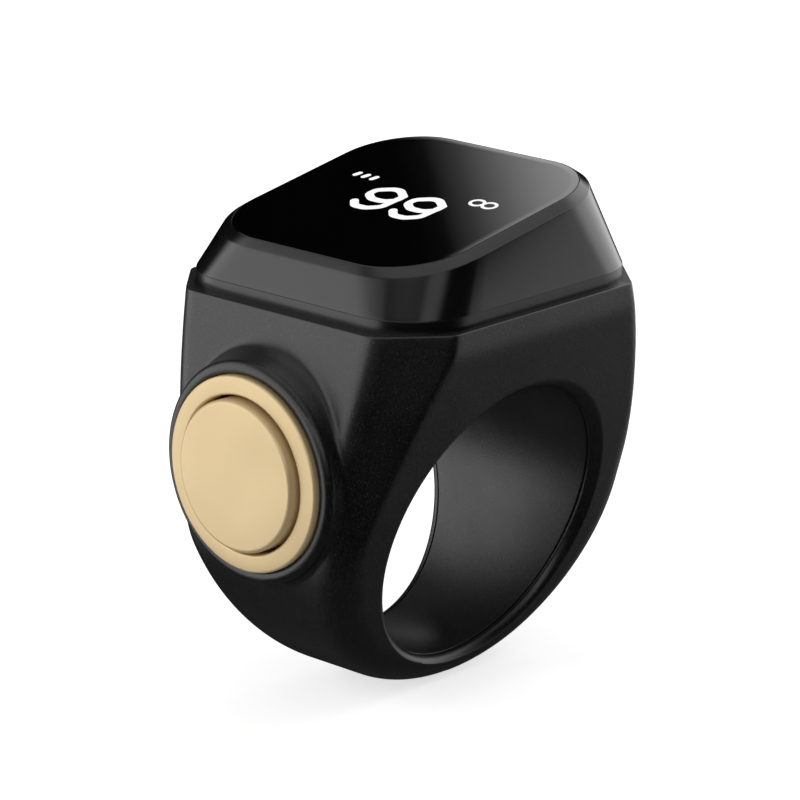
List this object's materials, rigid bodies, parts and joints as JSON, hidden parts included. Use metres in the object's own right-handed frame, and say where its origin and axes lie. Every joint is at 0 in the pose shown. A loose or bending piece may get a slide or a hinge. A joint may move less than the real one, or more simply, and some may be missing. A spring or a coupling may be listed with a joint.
{
  "type": "digital tally ring",
  "caption": "Digital tasbih counter worn as a finger ring, with a tilted display head and a round push button on its side.",
  "frame": {"origin": "middle of the finger bore, on its axis", "axes": "+Y along the bore's axis, +Z towards the display head, and the push button faces -X"},
  "size_m": [0.031, 0.0242, 0.0354],
  "materials": {
    "body_plastic": "fine-grained black moulded plastic",
    "liner_plastic": "satin black moulded plastic",
    "neck_plastic": "satin black moulded plastic",
    "cover_plastic": "polished black moulded plastic",
    "lens_glass": "polished glass, printed black behind",
    "panel_glass": "display glass",
    "bezel_gold": "satin champagne gold",
    "cap_gold": "satin champagne gold",
    "contact_gold": "gold plated",
    "plunger_plastic": "moulded",
    "actuator_plastic": "moulded",
    "seal_rubber": "moulded silicone rubber",
    "foam_tape": "foam tape",
    "copper_film": "copper-clad film",
    "board_laminate": "solder-masked laminate",
    "chip_resin": "moulded resin",
    "cell_foil": "aluminium foil pouch",
    "screw_steel": "plain steel",
    "tab_nickel": "nickel",
    "motor_steel": "drawn steel can",
    "rotor_metal": "sintered weight"
  },
  "bodies": {
    "case": {"ring_body": "body_plastic", "finger_liner": "liner_plastic", "neck_frame": "neck_plastic", "cover_seal": "seal_rubber", "head_cover": "cover_plastic", "display_lens": "lens_glass", "lens_tape": "foam_tape", "display_panel": "panel_glass", "display_flex": "copper_film", "main_board": "board_laminate", "board_chips": "chip_resin", "board_screws": "screw_steel", "battery": "cell_foil", "battery_tape": "foam_tape", "battery_tabs": "tab_nickel", "motor_case": "motor_steel", "motor_shaft": "screw_steel", "motor_flex": "copper_film", "charge_contacts": "contact_gold", "charge_flex": "copper_film", "button_bezel": "bezel_gold", "switch_board": "board_laminate", "switch_body": "chip_resin", "switch_dome": "tab_nickel", "switch_flex": "copper_film"},
    "button": {"button_cap": "cap_gold", "button_plunger": "plunger_plastic", "button_oring": "seal_rubber"},
    "actuator": {"switch_actuator": "actuator_plastic"},
    "rotor": {"motor_rotor": "rotor_metal"}
  },
  "joints": [
    {"name": "button_press", "type": "slide", "parent": "case", "child": "button", "axis": [1, 0, 0], "range_m": [0, 0.0003], "stiffness_N_per_m": 2500, "springref_m": -0.00005},
    {"name": "switch_press", "type": "slide", "parent": "case", "child": "actuator", "axis": [1, 0, 0], "range_m": [0, 0.0003], "deforming": ["switch_dome"]},
    {"name": "rotor_spin", "type": "hinge", "parent": "case", "child": "rotor", "pos_m": [0, 0.00565, 0.0131], "axis": [0, 0, 1], "continuous": true}
  ],
  "couplings": [
    {"joint": "switch_press", "follows": "button_press", "ratio": 1}
  ]
}
